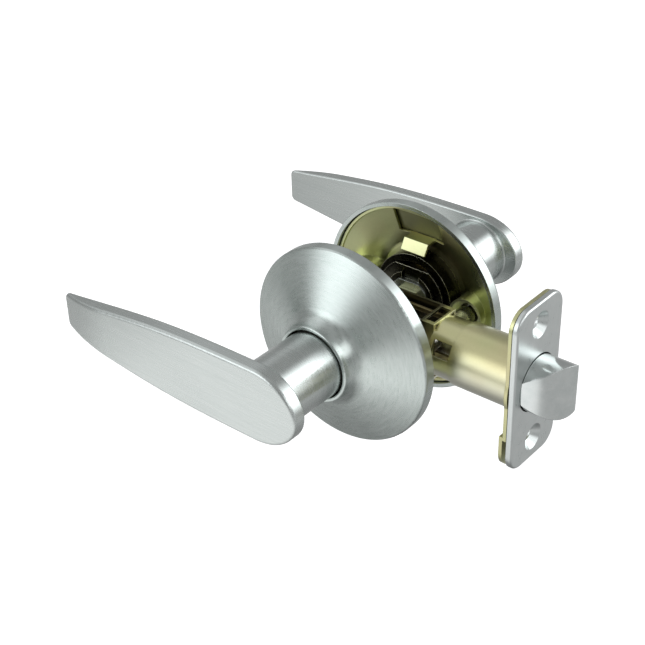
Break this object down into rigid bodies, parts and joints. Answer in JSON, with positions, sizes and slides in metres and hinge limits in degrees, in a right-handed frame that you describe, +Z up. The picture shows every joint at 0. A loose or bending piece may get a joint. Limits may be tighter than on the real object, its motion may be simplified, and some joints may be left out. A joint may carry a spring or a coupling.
{
  "type": "lever handle lockset",
  "caption": "Passage door lever lockset: sprung levers on round roses share a square spindle that draws back a tubular spring latch with a ramped bolt.",
  "frame": {"origin": "where the spindle's axis crosses the latch's axis, in the middle of the door's thickness", "axes": "+X along the latch to the door's edge, +Y through the door from the exterior half to the interior half, +Z up"},
  "size_m": [0.1586, 0.1244, 0.0682],
  "materials": {
    "satin_nickel": "satin nickel, circular brushing on the roses and lengthwise brushing on the levers",
    "satin_latch": "fine satin plating",
    "yellow_zinc": "zinc plating with a yellow-green chromate",
    "black_steel": "black oxide, slightly oily",
    "die_cast_zinc": "as cast, dull",
    "plated_steel": "bright zinc plating"
  },
  "bodies": {
    "lock_body": {"exterior_rose": "satin_nickel", "exterior_liner": "yellow_zinc", "exterior_spring_cage": "black_steel", "exterior_return_spring": "black_steel", "interior_rose": "satin_nickel", "interior_liner": "yellow_zinc", "interior_spring_cage": "black_steel", "interior_return_spring": "black_steel", "screw_posts": "plated_steel", "mounting_screws": "plated_steel", "latch_faceplate": "satin_latch", "latch_backplate": "yellow_zinc", "latch_tube": "yellow_zinc", "latch_case_outer": "yellow_zinc", "latch_case_inner": "yellow_zinc", "case_spacers": "plated_steel", "bolt_spring": "plated_steel"},
    "exterior_handle": {"exterior_lever": "satin_nickel", "exterior_drive_hub": "die_cast_zinc", "exterior_thrust_washer": "plated_steel", "exterior_retaining_ring": "black_steel", "spindle": "plated_steel"},
    "interior_handle": {"interior_lever": "satin_nickel", "interior_drive_hub": "die_cast_zinc", "interior_thrust_washer": "plated_steel", "interior_retaining_ring": "black_steel"},
    "cam": {"latch_cam": "die_cast_zinc"},
    "bolt": {"latch_bolt": "satin_latch", "bolt_carriage": "black_steel"}
  },
  "joints": [
    {"name": "exterior_lever_turn", "type": "hinge", "parent": "lock_body", "child": "exterior_handle", "pos_m": [0, 0, 0], "axis": [0, -1, 0], "range_deg": [0, 50], "stiffness_Nm_per_rad": 0.45, "springref_deg": -34.38},
    {"name": "interior_lever_turn", "type": "hinge", "parent": "lock_body", "child": "interior_handle", "pos_m": [0, 0, 0], "axis": [0, -1, 0], "range_deg": [0, 50], "stiffness_Nm_per_rad": 0.45, "springref_deg": -34.38},
    {"name": "cam_turn", "type": "hinge", "parent": "lock_body", "child": "cam", "pos_m": [0, 0, 0], "axis": [0, -1, 0], "range_deg": [0, 50]},
    {"name": "bolt_slide", "type": "slide", "parent": "lock_body", "child": "bolt", "axis": [1, 0, 0], "range_m": [-0.011, 0], "stiffness_N_per_m": 250, "springref_m": 0.02, "deforming": ["bolt_spring"]}
  ],
  "couplings": [
    {"joint": "interior_lever_turn", "follows": "exterior_lever_turn", "ratio": 1},
    {"joint": "cam_turn", "follows": "exterior_lever_turn", "ratio": 1},
    {"joint": "bolt_slide", "follows": "exterior_lever_turn", "m_per_rad": -0.012605}
  ]
}
